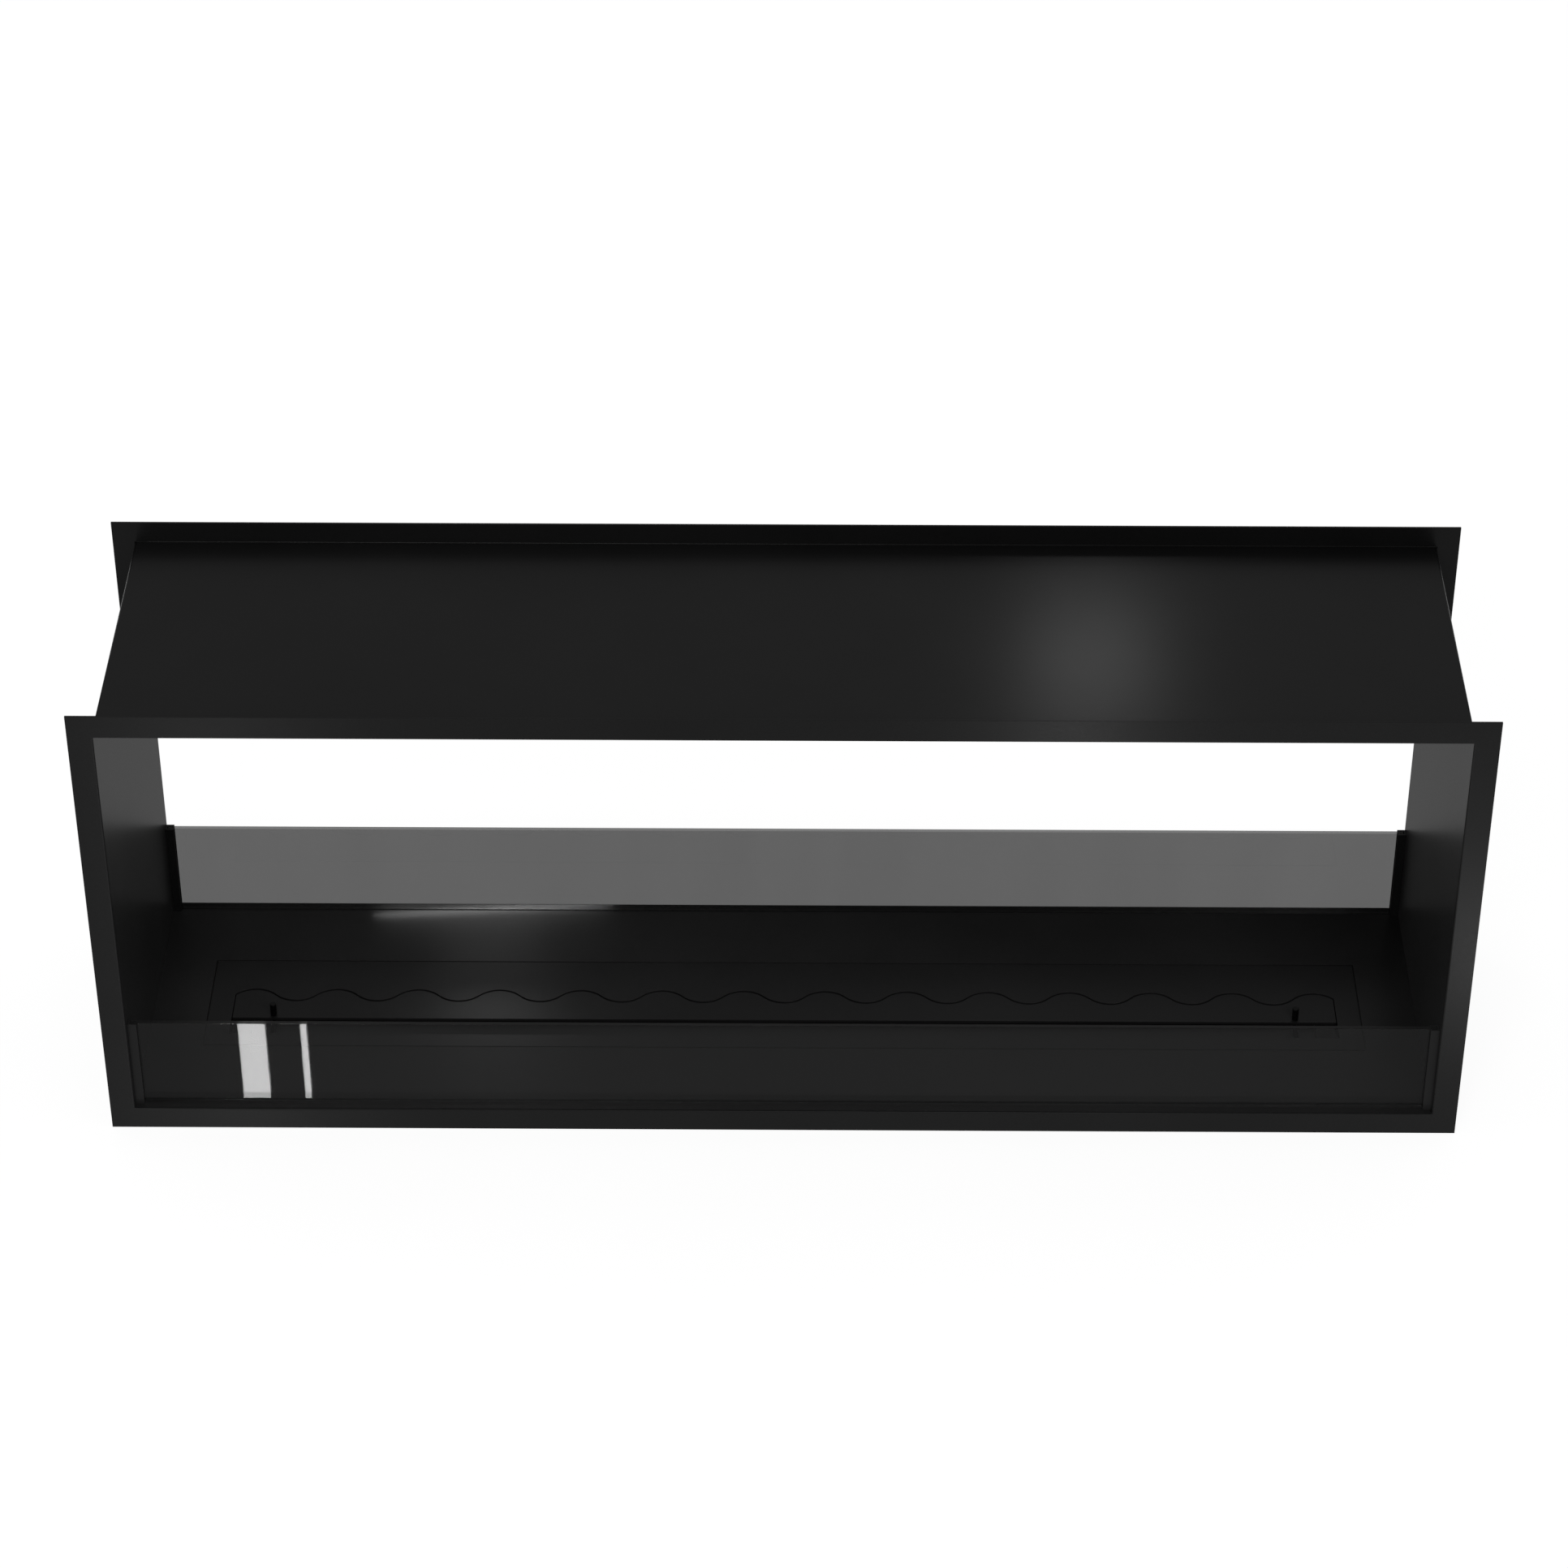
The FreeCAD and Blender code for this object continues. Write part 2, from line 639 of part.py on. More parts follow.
def make_lid_nuts():
    """Two hexagon nuts on the knob stems below the deck; they keep the lid from lifting."""
    nuts = []
    for x in ("-knob_offset_across", "knob_offset_across"):
        blank = doc.addObject("Part::Prism", "nut_blank")
        blank.Polygon = 6
        bind(blank, "Circumradius", "nut_corner_radius")
        bind(blank, "Height", "nut_height")
        place(blank, x, "-knob_offset_front", "nut_bottom")
        hole = doc.addObject("Part::Cylinder", "nut_hole")
        bind(hole, "Radius", "stem_hole_radius")
        bind(hole, "Height", "nut_height")
        place(hole, x, "-knob_offset_front", "nut_bottom")
        nut = doc.addObject("Part::Cut", "lid_nut")
        nut.Base = blank
        nut.Tool = hole
        nuts.append(nut)
    pair = doc.addObject("Part::Compound", "lid_nuts")
    pair.Links = nuts
    keep(pair, "lid_nuts")


def build():
    """Model every sub-part in its place."""
    fill_sheet()
    make_frame("front_frame", True, "-half_depth")
    make_frame("rear_frame", False, "half_depth")
    make_top_panel()
    make_floor_panel()
    make_side_panel("left_side_panel", "-outer_half_width")
    make_side_panel("right_side_panel", "inner_half_width")
    make_channel("front_left_channel", "-inner_half_width", "-channel_y", "front_channel_height", False)
    make_channel("front_right_channel", "inner_half_width", "-channel_y", "front_channel_height", True)
    make_channel("rear_left_channel", "-inner_half_width", "channel_y", "rear_channel_height", False)
    make_channel("rear_right_channel", "inner_half_width", "channel_y", "rear_channel_height", True)
    make_pane("front_pane", "-channel_y", "front_pane_top")
    make_pane("rear_pane", "channel_y", "rear_pane_top")
    make_seat_pads("front_seat_pads", "-pane_outer_face")
    make_seat_pads("rear_seat_pads", "pane_inner_face")
    make_ledges()
    make_burner_plate()
    make_fuel_tank()
    make_lid_deck()
    make_flame_grille()
    make_wool_pad()
    make_guides()
    make_slide_lid()
    make_knob("left_knob", "-knob_offset_across")
    make_knob("right_knob", "knob_offset_across")
    make_lid_nuts()
    doc.recompute()


def check():
    """Stop on any object that failed to compute and on any sub-part without a valid shape."""
    for obj in doc.Objects:
        if "Invalid" in obj.State or "Error" in obj.State:
            raise RuntimeError("%s did not compute: %s" % (obj.Name, obj.State))
    for obj in parts:
        if obj.Shape.isNull() or not obj.Shape.isValid():
            raise RuntimeError("%s has no valid shape" % obj.Label)
        bound = obj.Shape.BoundBox
        print("%-20s solids %d  volume %10.0f  x %8.2f %8.2f  y %8.2f %8.2f  z %7.2f %7.2f" % (
            obj.Label, len(obj.Shape.Solids), obj.Shape.Volume,
            bound.XMin, bound.XMax, bound.YMin, bound.YMax, bound.ZMin, bound.ZMax))


def export():
    """Write one STEP file per sub-part."""
    os.makedirs("parts", exist_ok=True)
    for obj in parts:
        obj.Shape.exportStep("parts/%s.step" % obj.Label)


build()
check()
export()
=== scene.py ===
import math

import bmesh
import bpy
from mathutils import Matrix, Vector


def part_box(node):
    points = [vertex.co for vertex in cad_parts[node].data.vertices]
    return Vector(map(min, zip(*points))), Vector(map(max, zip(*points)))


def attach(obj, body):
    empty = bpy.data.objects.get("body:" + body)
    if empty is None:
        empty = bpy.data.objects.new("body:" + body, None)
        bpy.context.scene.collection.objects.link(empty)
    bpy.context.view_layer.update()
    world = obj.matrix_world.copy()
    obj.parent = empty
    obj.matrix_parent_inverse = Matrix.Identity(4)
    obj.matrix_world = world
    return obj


MM = 0.001

# The photograph's camera, solved from the edges of the two frames and the floor.
CAMERA_PLACE = Vector((0.0226, -3.1333, 2.5747))
CAMERA_TILT_DOWN = math.radians(36.291)
CAMERA_TURN_LEFT = math.radians(0.416)
CAMERA_LENS = 100.857
SENSOR_WIDTH = 36.0

# The studio: how bright a plain surface of it looks, with 1 as white.
SURROUND_ABOVE = 0.163
SURROUND_BELOW = 0.25
SURROUND_PALEST = Vector((0.0, 0.33, -0.94))
OVERHEAD_SHARE = 0.4
FLOOR_GLOW = 0.9

FACING_FRONT = 1
FACING_UP = 2
BURNER_TOPS = ("burner_plate", "slide_lid")
EDGE_ROUNDING = 0.35 * MM
JOINT_BEAD_RADIUS = 0.8 * MM


# ---------------------------------------------------------------- node helpers

def map_range(tree, value, start, end, low, high):
    """value from start to end, spread over low to high, in any node tree."""
    node = tree.nodes.new("ShaderNodeMapRange")
    for key, number in (("From Min", start), ("From Max", end), ("To Min", low), ("To Max", high)):
        node.inputs[key].default_value = number
    tree.links.new(value, node.inputs["Value"])
    return node.outputs["Result"]


class Shader:
    """A new material with a Principled shader, and short calls that add nodes to it."""

    def __init__(self, name):
        self.material = bpy.data.materials.new(name)
        self.material.use_nodes = True
        self.tree = self.material.node_tree
        self.principled = next(n for n in self.tree.nodes if n.type == "BSDF_PRINCIPLED")
        self.place = self.add("ShaderNodeTexCoord").outputs["Object"]

    def add(self, kind, **settings):
        node = self.tree.nodes.new(kind)
        for key, value in settings.items():
            setattr(node, key, value)
        return node

    def link(self, output, target):
        self.tree.links.new(output, target)

    def set(self, **values):
        for key, value in values.items():
            self.principled.inputs[key.replace("_", " ")].default_value = value

    def drive(self, socket, output):
        self.link(output, self.principled.inputs[socket])

    def stretched(self, stretch):
        """The piece's own coordinates, multiplied along each axis."""
        mapping = self.add("ShaderNodeMapping")
        mapping.inputs["Scale"].default_value = stretch
        self.link(self.place, mapping.inputs["Vector"])
        return mapping.outputs["Vector"]

    def noise(self, grain, detail=3.0, roughness=0.55, stretch=None):
        """Noise whose features are about grain metres across."""
        node = self.add("ShaderNodeTexNoise")
        node.inputs["Scale"].default_value = 1.0 / grain
        node.inputs["Detail"].default_value = detail
        node.inputs["Roughness"].default_value = roughness
        self.link(self.stretched(stretch) if stretch else self.place, node.inputs["Vector"])
        return node.outputs["Fac"]

    def cells(self, grain):
        """Rounded cells about grain metres across."""
        node = self.add("ShaderNodeTexVoronoi", feature="SMOOTH_F1")
        node.inputs["Scale"].default_value = 1.0 / grain
        self.link(self.place, node.inputs["Vector"])
        return node.outputs["Distance"]

    def spread(self, value, low, high, start=0.3, end=0.7):
        """value from start to end, spread over low to high."""
        return map_range(self.tree, value, start, end, low, high)

    def maths(self, operation, first, second):
        node = self.add("ShaderNodeMath", operation=operation)
        for socket, value in zip(node.inputs, (first, second)):
            if isinstance(value, (int, float)):
                socket.default_value = value
            else:
                self.link(value, socket)
        return node.outputs["Value"]

    def shades(self, value, dark, light, start=0.3, end=0.7):
        """A colour from dark to light as value goes from start to end."""
        ramp = self.add("ShaderNodeValToRGB")
        first, last = ramp.color_ramp.elements
        first.position, first.color = start, (*dark, 1.0)
        last.position, last.color = end, (*light, 1.0)
        self.link(value, ramp.inputs["Fac"])
        return ramp.outputs["Color"]

    def blend(self, factor, first, second):
        """first where factor is 0 and second where it is 1."""
        node = self.add("ShaderNodeMix", data_type="RGBA")
        self.link(factor, node.inputs["Factor"])
        for socket, value in ((node.inputs[6], first), (node.inputs[7], second)):
            if isinstance(value, tuple):
                socket.default_value = (*value, 1.0)
            else:
                self.link(value, socket)
        return node.outputs[2]

    def bump(self, height, depth, strength=1.0, under=None):
        """Raises the surface by height times depth metres, on top of an earlier bump."""
        node = self.add("ShaderNodeBump")
        node.inputs["Distance"].default_value = depth
        node.inputs["Strength"].default_value = strength
        self.link(height, node.inputs["Height"])
        if under is not None:
            self.link(under, node.inputs["Normal"])
        return node.outputs["Normal"]

    def facing_up(self):
        """1 on faces that look straight up, 0 on upright ones."""
        geometry = self.add("ShaderNodeNewGeometry")
        split = self.add("ShaderNodeSeparateXYZ")
        self.link(geometry.outputs["True Normal"], split.inputs["Vector"])
        return split.outputs["Z"]


# ---------------------------------------------------------------- materials

def coated_steel(name, dark, light, rough_low, rough_high, grain, depth):
    """Satin black powder coat: a fine even grain over slow waves, as a sprayed and baked coat has."""
    shader = Shader(name)
    cloud = shader.noise(0.12, detail=2.0)
    speck = shader.noise(grain, detail=2.0)
    mottled = shader.maths("MULTIPLY", cloud, speck)
    shader.drive("Base Color", shader.shades(mottled, dark, light, start=0.15, end=0.36))
    shader.drive("Roughness", shader.spread(speck, rough_low, rough_high))
    waves = shader.bump(shader.noise(0.006, detail=1.0), 0.02 * MM, strength=0.25)
    shader.drive("Normal", shader.bump(shader.cells(grain), depth, strength=0.4, under=waves))
    shader.set(IOR=1.5)
    return shader.material


def powder_coat():
    return coated_steel("powder_coat", (0.017, 0.017, 0.0172), (0.024, 0.024, 0.0243),
                        0.29, 0.35, 0.9 * MM, 0.03 * MM)


def painted_light_floor_coat():
    """The same coat on the floor, made a little paler: painted light on the floor of the fire chamber."""
    return coated_steel("painted_light_floor_coat", (0.022, 0.022, 0.0222), (0.031, 0.031, 0.0313),
                        0.29, 0.35, 0.9 * MM, 0.03 * MM)


def channel_coat():
    return coated_steel("channel_coat", (0.020, 0.020, 0.0202), (0.027, 0.027, 0.0273),
                        0.32, 0.40, 0.8 * MM, 0.03 * MM)


def burner_coat():
    return coated_steel("burner_coat", (0.017, 0.017, 0.0172), (0.024, 0.024, 0.0243),
                        0.30, 0.37, 0.7 * MM, 0.02 * MM)


def knob_black():
    """Black anodised turned metal: fine rings up the side."""
    shader = Shader("knob_black")
    turned = shader.noise(0.35 * MM, detail=1.0, stretch=(0.05, 0.05, 1.0))
    shader.drive("Base Color", shader.shades(turned, (0.006, 0.006, 0.006), (0.02, 0.02, 0.02)))
    shader.drive("Roughness", shader.spread(turned, 0.25, 0.42))
    shader.drive("Normal", shader.bump(turned, 0.03 * MM, strength=0.5))
    shader.set(Metallic=0.3)
    return shader.material


def smoked_glass(name, clearness, index, edge_shade, edge_covering, edge_shine):
    """Tempered smoked glass that lets the share clearness through, half of the darkening in each face.
    Its top edge is ground, with its own shade, shine and share of light held back."""
    shader = Shader(name)
    upward = shader.facing_up()
    ground = shader.spread(upward, 0.0, 1.0, start=0.4, end=0.6)
    streaks = shader.noise(0.05, detail=2.0, stretch=(1.0, 1.0, 0.2))
    tint = shader.shades(streaks, (0.0028, 0.0029, 0.0030), (0.0036, 0.0037, 0.0038))
    frost = shader.shades(shader.noise(0.6 * MM), (edge_shade * 0.8,) * 3, (edge_shade * 1.2,) * 3)
    shader.drive("Base Color", shader.blend(ground, tint, frost))
    shader.drive("Roughness", shader.spread(upward, 0.015, 0.35, start=0.4, end=0.6))
    covering = 1.0 - math.sqrt(clearness)
    faces = shader.spread(streaks, covering - 0.004, covering + 0.004)
    lift = shader.maths("MULTIPLY", ground, edge_covering - covering)
    shader.drive("Alpha", shader.maths("ADD", faces, lift))
    shader.drive("Specular IOR Level", shader.spread(upward, 0.5, edge_shine, start=0.4, end=0.6))
    shader.set(IOR=index)
    return shader.material


def seat_silicone():
    """Black translucent rubber under the corners of the panes."""
    shader = Shader("seat_silicone")
    grain = shader.noise(0.8 * MM)
    shader.drive("Base Color", shader.shades(grain, (0.008, 0.008, 0.008), (0.018, 0.018, 0.018)))
    shader.drive("Roughness", shader.spread(grain, 0.45, 0.65))
    shader.drive("Normal", shader.bump(grain, 0.03 * MM, strength=0.4))
    return shader.material


def brushed_stainless(name, along, brightness):
    """Brushed stainless steel: long scratches along one axis, with faint heat tints and stains.
    A brightness under 1 darkens it all over, which paints shade on parts seen down dark gaps."""
    shader = Shader(name)
    scratches = shader.noise(0.5 * MM, detail=4.0, stretch=along)
    stain = shader.noise(0.08, detail=3.0)
    shades = ((0.30, 0.30, 0.30), (0.46, 0.455, 0.45), (0.24, 0.225, 0.205), (0.38, 0.36, 0.335))
    dimmed = [tuple(value * brightness for value in shade) for shade in shades]
    plain = shader.shades(scratches, dimmed[0], dimmed[1])
    tinted = shader.shades(scratches, dimmed[2], dimmed[3])
    tinting = shader.spread(stain, 0.0, 1.0, start=0.45, end=0.75)
    shader.drive("Base Color", shader.blend(tinting, plain, tinted))
    shader.drive("Roughness", shader.spread(scratches, 0.26, 0.42))
    shader.drive("Normal", shader.bump(scratches, 0.01 * MM, strength=0.4))
    shader.set(Metallic=1.0)
    return shader.material


def ceramic_wool():
    """White ceramic fibre mat: a tangle of fine fibres in soft clumps."""
    shader = Shader("ceramic_wool")
    fibres = shader.noise(0.9 * MM, detail=6.0, roughness=0.7)
    clumps = shader.noise(9.0 * MM, detail=2.0)
    shader.drive("Base Color", shader.shades(fibres, (0.60, 0.58, 0.54), (0.82, 0.81, 0.78)))
    height = shader.maths("ADD", fibres, clumps)
    shader.drive("Normal", shader.bump(height, 0.8 * MM, strength=0.8))
    shader.set(Roughness=0.95)
    return shader.material


def weld_bead():
    """The coated bead in the joint between sleeve and frame, a little smoother than the sheet and darker
    than it: painted shade in the corner.
    """
    return coated_steel("weld_bead", (0.006, 0.006, 0.006), (0.011, 0.011, 0.011),
                        0.24, 0.34, 1.6 * MM, 0.08 * MM)


# ---------------------------------------------------------------- CAD nodes

def dress(node, material):
    """Gives a CAD node its material on every slot."""
    slots = node.data.materials
    for index in range(max(1, len(slots))):
        if index < len(slots):
            slots[index] = material
        else:
            slots.append(material)


def round_edges(node, width):
    """Breaks the node's sharp edges, as coating or grinding does, so that they catch the light."""
    weld = node.modifiers.new("join_faces", "WELD")
    weld.merge_threshold = 0.002 * MM
    bevel = node.modifiers.new("edge_rounding", "BEVEL")
    bevel.width = width
    bevel.segments = 2
    bevel.limit_method = "ANGLE"
    bevel.angle_limit = math.radians(40)
    bevel.use_clamp_overlap = True
    bevel.harden_normals = True


def dress_nodes(nodes, looks):
    for label, (material, rounding) in looks.items():
        dress(nodes[label], material)
        if rounding:
            round_edges(nodes[label], rounding)


def node_looks():
    """The material and edge rounding of every CAD node."""
    coat = powder_coat()
    channel = channel_coat()
    burner = burner_coat()
    knob = knob_black()
    silicone = seat_silicone()
    along_x = (0.02, 1.0, 1.0)
    clean_steel = brushed_stainless("clean_stainless", along_x, 1.0)
    # Stainless darkened to an eighth: painted shade on the grille and lid guides, seen down the dark gaps
    # around the lid.
    shade_darkened_steel = brushed_stainless("shade_darkened_stainless", along_x, 0.12)
    looks = {}
    for label in ("front_frame", "rear_frame", "top_panel", "left_side_panel", "right_side_panel"):
        looks[label] = (coat, EDGE_ROUNDING)
    # The floor panel's coat is a paler copy of the sheet coat: painted light.
    looks["floor_panel"] = (painted_light_floor_coat(), 0.15 * MM)
    for label in ("front_burner_ledge", "rear_burner_ledge", "left_burner_ledge", "right_burner_ledge"):
        looks[label] = (coat, 0.2 * MM)
    for label in ("front_left_channel", "front_right_channel", "rear_left_channel", "rear_right_channel"):
        looks[label] = (channel, 0.2 * MM)
    front_glass = smoked_glass("smoked_glass_front", clearness=0.46, index=1.95,
                               edge_shade=0.010, edge_covering=0.9, edge_shine=0.5)
    # Both panes are one smoked glass. The rear copy is made darker, as painted shade over the pale floor
    # seen through it, and its ground top edge paler, as a painted highlight.
    rear_glass = smoked_glass("smoked_glass_rear", clearness=0.122, index=1.65,
                              edge_shade=0.055, edge_covering=0.5, edge_shine=0.5)
    looks["front_pane"] = (front_glass, 0.3 * MM)
    looks["rear_pane"] = (rear_glass, 0.3 * MM)
    for label in ("front_seat_pads", "rear_seat_pads"):
        looks[label] = (silicone, 0.3 * MM)
    for label in ("burner_plate", "slide_lid", "lid_deck"):
        looks[label] = (burner, 0.1 * MM)
    for label in ("left_knob", "right_knob"):
        looks[label] = (knob, 0.4 * MM)
    for label in ("fuel_tank", "lid_nuts"):
        looks[label] = (clean_steel, 0.2 * MM)
    for label in ("flame_grille", "left_lid_guide", "right_lid_guide"):
        looks[label] = (shade_darkened_steel, 0.2 * MM)
    looks["ceramic_wool_pad"] = (ceramic_wool(), 1.0 * MM)
    return looks


# ---------------------------------------------------------------- small extra pieces

def new_piece(name, shape, material):
    mesh = bpy.data.meshes.new(name)
    shape.to_mesh(mesh)
    shape.free()
    piece = bpy.data.objects.new(name, mesh)
    bpy.context.scene.collection.objects.link(piece)
    mesh.materials.append(material)
    for face in mesh.polygons:
        face.use_smooth = True
    return piece


def bead(name, start, end, out_a, out_b, radius, material):
    """A hollow-ground corner fillet from start to end, against the two faces that out_a and out_b lie in.
    Its radius swells a little along its length, as a run of weld does under the coat."""
    shape = bmesh.new()
    run = end - start
    step_length = 0.012
    steps = max(8, int(run.length / step_length))
    arc_points = 5
    long_waves = 61.0
    short_waves = 173.0
    rows = []
    for step in range(steps + 1):
        share = step / steps
        along = share * run.length
        swell = 1.0 + 0.08 * math.sin(long_waves * along) + 0.05 * math.sin(short_waves * along)
        reach = radius * swell
        corner = start + run * share
        row = []
        for index in range(arc_points):
            turn = math.pi / 2 * index / (arc_points - 1)
            away_a = reach * (1.0 - math.sin(turn))
            away_b = reach * (1.0 - math.cos(turn))
            row.append(shape.verts.new(corner + out_a * away_a + out_b * away_b))
        row.append(shape.verts.new(corner))
        rows.append(row)
    for here, there in zip(rows, rows[1:]):
        for index in range(len(here)):
            following = (index + 1) % len(here)
            shape.faces.new((here[index], here[following], there[following], there[index]))
    shape.faces.new(rows[0])
    shape.faces.new(list(reversed(rows[-1])))
    bmesh.ops.recalc_face_normals(shape, faces=shape.faces)
    return new_piece(name, shape, material)


def add_joint_beads():
    """Beads where the sleeve meets the backs of the two frames, on the outside."""
    material = weld_bead()
    sleeve_low, sleeve_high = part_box("top_panel")
    floor_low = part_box("floor_panel")[0]
    frames = {"front": (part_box("front_frame")[1].y, 1.0), "rear": (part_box("rear_frame")[0].y, -1.0)}
    for label, (face, inward) in frames.items():
        along = Vector((0.0, inward, 0.0))
        top = Vector((sleeve_low.x, face, sleeve_high.z))
        run_right = Vector((sleeve_high.x, face, sleeve_high.z))
        pieces = [bead(f"{label}_top_joint_bead", top, run_right, Vector((0, 0, 1)), along,
                       JOINT_BEAD_RADIUS, material)]
        for side, x, out in (("left", sleeve_low.x, -1.0), ("right", sleeve_high.x, 1.0)):
            low = Vector((x, face, floor_low.z))
            high = Vector((x, face, sleeve_high.z))
            pieces.append(bead(f"{label}_{side}_joint_bead", low, high, Vector((out, 0, 0)), along,
                               JOINT_BEAD_RADIUS, material))
        for piece in pieces:
            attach(piece, "casing")


# ---------------------------------------------------------------- studio

def camera_only(thing):
    """The thing is seen but lights nothing and isn't mirrored, so black coat and glass stay dark."""
    thing.visible_diffuse = False
    thing.visible_glossy = False
    thing.visible_transmission = False
    thing.visible_volume_scatter = False
    thing.visible_shadow = False


def add_floor():
    """A pale floor that curves up into a wall far behind, all round."""
    shape = bmesh.new()
    flat_radius = 7.0
    bend_radius = 3.0
    wall_top = 9.0
    bend_points = 12
    ring_points = 96
    profile = [(flat_radius * share, 0.0) for share in (0.15, 0.4, 0.7, 1.0)]
    for index in range(1, bend_points + 1):
        turn = math.pi / 2 * index / bend_points
        profile.append((flat_radius + bend_radius * math.sin(turn), bend_radius * (1 - math.cos(turn))))
    profile.append((flat_radius + bend_radius, wall_top))
    rings = []
    for radius, height in profile:
        ring = []
        for index in range(ring_points):
            turn = 2 * math.pi * index / ring_points
            ring.append(shape.verts.new((radius * math.cos(turn), radius * math.sin(turn), height)))
        rings.append(ring)
    shape.faces.new(rings[0])
    for inner, outer in zip(rings, rings[1:]):
        for index in range(ring_points):
            following = (index + 1) % ring_points
            shape.faces.new((inner[index], outer[index], outer[following], inner[following]))
    shader = Shader("pale_floor")
    mottle = shader.noise(0.5, detail=2.0)
    shader.drive("Base Color", shader.shades(mottle, (0.80, 0.80, 0.80), (0.83, 0.83, 0.83)))
    shader.set(Roughness=0.9)
    shader.set(Emission_Color=(1.0, 1.0, 1.0, 1.0))
    shader.set(Emission_Strength=FLOOR_GLOW)
    shader.material.cycles.emission_sampling = "NONE"
    floor = new_piece("studio_floor", shape, shader.material)
    camera_only(floor)


def add_surround():
    """A dim grey all round, which the coat and the glass mirror: palest from below, darkest overhead."""
    world = bpy.data.worlds.new("studio_surround")
    world.use_nodes = True
    tree = world.node_tree
    background = next(n for n in tree.nodes if n.type == "BACKGROUND")
    direction = tree.nodes.new("ShaderNodeTexCoord")
    towards = tree.nodes.new("ShaderNodeVectorMath")
    towards.operation = "DOT_PRODUCT"
    towards.inputs[1].default_value = SURROUND_PALEST
    tree.links.new(direction.outputs["Generated"], towards.inputs[0])
    level = map_range(tree, towards.outputs["Value"], -0.3, 0.8, SURROUND_ABOVE, SURROUND_BELOW)
    overhead = map_range(tree, towards.outputs["Value"], -0.95, -0.5, OVERHEAD_SHARE, 1.0)
    dimmed = tree.nodes.new("ShaderNodeMath")
    dimmed.operation = "MULTIPLY"
    tree.links.new(level, dimmed.inputs[0])
    tree.links.new(overhead, dimmed.inputs[1])
    tree.links.new(dimmed.outputs["Value"], background.inputs["Strength"])
    background.inputs["Color"].default_value = (1.0, 1.0, 1.0, 1.0)
    bpy.context.scene.world = world


def mirrored_from_camera(point, normal_axis):
    """The direction in which a flat surface at point, facing along an axis, mirrors the camera's view."""
    away = (point - CAMERA_PLACE).normalized()
    away[normal_axis] = -away[normal_axis]
    return away


def hang_lamp(name, light, place, turn, lit):
    """Puts a light, unseen by the camera, at place. If lit names any nodes, it lights only those,
    as a light behind flags and barn doors does."""
    lamp = bpy.data.objects.new(name, light)
    lamp.location = place
    lamp.rotation_euler = turn
    lamp.visible_camera = False
    bpy.context.scene.collection.objects.link(lamp)
    if lit:
        only = bpy.data.collections.new(name + "_lights")
        for label in lit:
            only.objects.link(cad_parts[label])
        lamp.light_linking.receiver_collection = only


def add_soft_light(name, place, target, width, height, level, lit=(), beam=None):
    """A soft light at place, aimed at target, whose own face is level times as bright as white.
    A beam, in radians, narrows the light to that angle, as a honeycomb grid does."""
    light = bpy.data.lights.new(name, "AREA")
    light.shape = "ELLIPSE"
    light.size = width
    light.size_y = height
    face = math.pi * width * height / 4
    light.energy = level * math.pi * face
    if beam is not None:
        light.spread = beam
        light.energy *= 1.0 - beam / 2 / math.tan(beam / 2)
    turn = (target - place).to_track_quat("-Z", "Y").to_euler()
    hang_lamp(name, light, place, turn, lit)


def light_mirrored_at(name, point, normal_axis, distance, width, height, level, lit=(), beam=None):
    """A soft light where the camera sees its mirror image at point."""
    place = point + mirrored_from_camera(point, normal_axis) * distance
    add_soft_light(name, place, point, width, height, level, lit, beam)


def add_upright_strip(name, point, distance, width, level, lit):
    """An upright strip light in front of the insert, taller than the insert, that faces the front frame.
    The camera sees its middle line mirrored at point in a surface that faces the front."""
    bottom = -0.75
    top = 0.25
    place = point + mirrored_from_camera(point, FACING_FRONT) * distance
    light = bpy.data.lights.new(name, "AREA")
    light.shape = "RECTANGLE"
    light.size = width
    light.size_y = top - bottom
    light.energy = level * math.pi * light.size * light.size_y
    middle = (place.x, place.y, (top + bottom) / 2)
    hang_lamp(name, light, middle, (math.pi / 2, 0.0, 0.0), lit)


def add_room_lights():
    """The large soft box in front, and weak fills for the burner and the two side walls."""
    add_soft_light("soft_box", Vector((-0.6, -3.2, 2.6)), Vector((0.0, 0.0, 0.15)),
                   width=1.4, height=1.0, level=2.2)
    add_soft_light("inside_fill", Vector((1.4, -2.6, 2.2)), Vector((0.0, 0.0, 0.1)),
                   width=1.4, height=1.0, level=6.0, lit=BURNER_TOPS + ("floor_panel",))
    wall_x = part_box("top_panel")[1].x
    for label, side in (("left", -1.0), ("right", 1.0)):
        wall = Vector((wall_x * side, 0.0, 0.2))
        opposite = Vector((-1.4 * side, -1.6, 1.2))
        add_soft_light(f"{label}_wall_fill", opposite, wall, width=1.4, height=1.0, level=4.0,
                       lit=(f"{label}_side_panel", f"front_{label}_channel"))


def add_top_lights():
    """The round glow on the top panel, and the thin bright lines along its two ends."""
    sleeve_low, sleeve_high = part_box("top_panel")
    for label, edge, side in (("left", sleeve_low.x, -1.0), ("right", sleeve_high.x, 1.0)):
        middle = Vector((edge, 0.0, sleeve_high.z))
        place = middle + Vector((1.2 * side, 1.5, -0.35))
        add_soft_light(f"{label}_rim_light", place, middle, width=0.8, height=0.8, level=1.2,
                       lit=("top_panel",))
    glow = Vector((0.262, -0.045, sleeve_high.z))
    light_mirrored_at("back_light", glow, FACING_UP, distance=0.55, width=0.13, height=0.06, level=2.8)


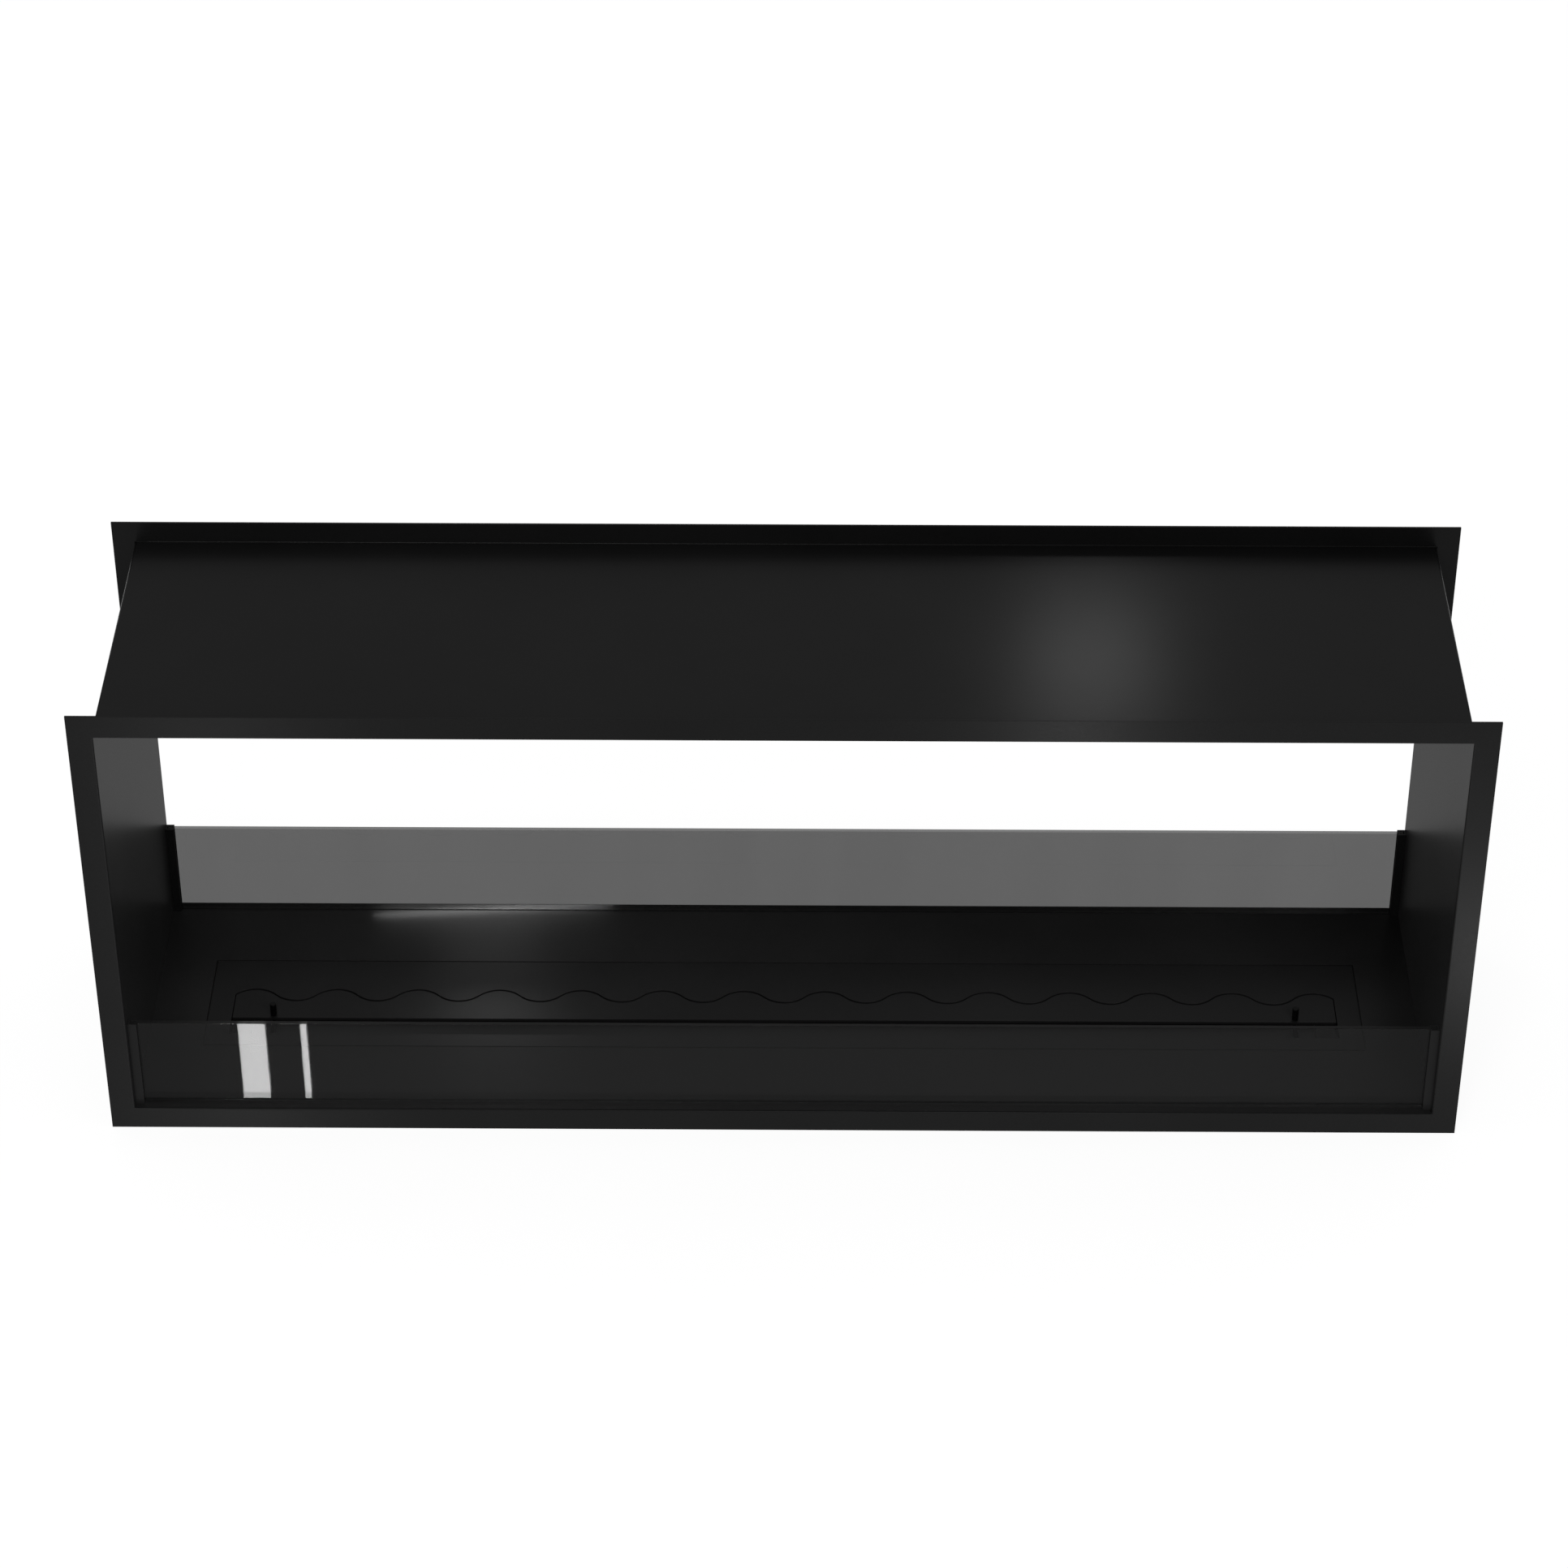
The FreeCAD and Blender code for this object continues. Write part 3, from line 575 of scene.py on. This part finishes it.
def add_floor_lights():
    """The glow on the floor behind the burner, and the bright line at the foot of the rear pane."""
    floor_back, floor_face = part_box("floor_panel")[1].yz
    glow_x = -0.275
    on_floor = Vector((glow_x, floor_back - 5 * MM, floor_face))
    pane_foot = Vector((glow_x, floor_back - 7.5 * MM, floor_face))
    before_pane = Vector((glow_x, floor_back - 45 * MM, floor_face))
    floor = ("floor_panel",)
    light_mirrored_at("low_back_light", before_pane, FACING_UP, distance=0.25,
                      width=0.10, height=0.12, level=2.6, lit=floor)
    light_mirrored_at("burner_back_light", before_pane, FACING_UP, distance=0.30,
                      width=0.12, height=0.14, level=2.6, lit=BURNER_TOPS)
    for number, width in enumerate((0.04, 0.08, 0.12, 0.17, 0.23), start=1):
        light_mirrored_at(f"floor_edge_light_{number}", on_floor, FACING_UP, distance=0.045,
                          width=width, height=0.03, level=4.5, lit=floor)
        light_mirrored_at(f"floor_line_light_{number}", pane_foot, FACING_UP, distance=0.03,
                          width=width, height=0.006, level=50.0, lit=floor, beam=math.radians(24))


def add_front_lights():
    """The glows on the front frame, and the two pale upright bars in the front pane."""
    front_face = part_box("front_frame")[0].y
    pane_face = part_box("front_pane")[0].y
    front = ("front_frame",)
    glows = {
        "right_front_light": (Vector((0.607, front_face, 0.215)), 9.0),
        "upper_front_light": (Vector((0.243, front_face, 0.45)), 8.0),
    }
    for label, (point, level) in glows.items():
        light_mirrored_at(label, point, FACING_FRONT, distance=0.62, width=0.06, height=0.06,
                          level=level, lit=front)
    distance = 0.8
    pane_middle = 0.077
    left_glow = Vector((-0.476, front_face, pane_middle))
    add_upright_strip("left_front_light", left_glow, distance, width=0.03, level=2.0, lit=front)
    for label, left, right in (("wide_strip", -0.481, -0.457), ("narrow_strip", -0.426, -0.4205)):
        middle = Vector(((left + right) / 2, pane_face, pane_middle))
        widening = 1.0 + distance / (middle - CAMERA_PLACE).length
        width = (right - left) * widening
        add_upright_strip(label, middle, distance, width, level=10.2, lit=("front_pane",))


def add_camera():
    camera = bpy.data.cameras.new("photo_camera")
    camera.sensor_width = SENSOR_WIDTH
    camera.sensor_fit = "HORIZONTAL"
    camera.lens = CAMERA_LENS
    camera.clip_start = 0.05
    camera.clip_end = 60.0
    stand = bpy.data.objects.new("photo_camera", camera)
    stand.location = CAMERA_PLACE
    stand.rotation_euler = (math.pi / 2 - CAMERA_TILT_DOWN, 0.0, CAMERA_TURN_LEFT)
    bpy.context.scene.collection.objects.link(stand)
    bpy.context.scene.camera = stand


def set_plain_colours():
    view = bpy.context.scene.view_settings
    view.view_transform = "Standard"
    view.look = "None"


# ---------------------------------------------------------------- the scene


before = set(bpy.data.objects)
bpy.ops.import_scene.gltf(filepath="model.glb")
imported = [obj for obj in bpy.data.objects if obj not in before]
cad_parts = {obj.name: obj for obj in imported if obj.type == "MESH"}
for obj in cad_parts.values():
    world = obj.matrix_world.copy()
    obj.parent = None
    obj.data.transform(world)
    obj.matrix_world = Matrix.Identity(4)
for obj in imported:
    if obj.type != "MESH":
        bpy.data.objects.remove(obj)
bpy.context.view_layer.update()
dress_nodes(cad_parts, node_looks())
add_joint_beads()
add_floor()
add_surround()
add_room_lights()
add_top_lights()
add_floor_lights()
add_front_lights()
add_camera()
set_plain_colours()
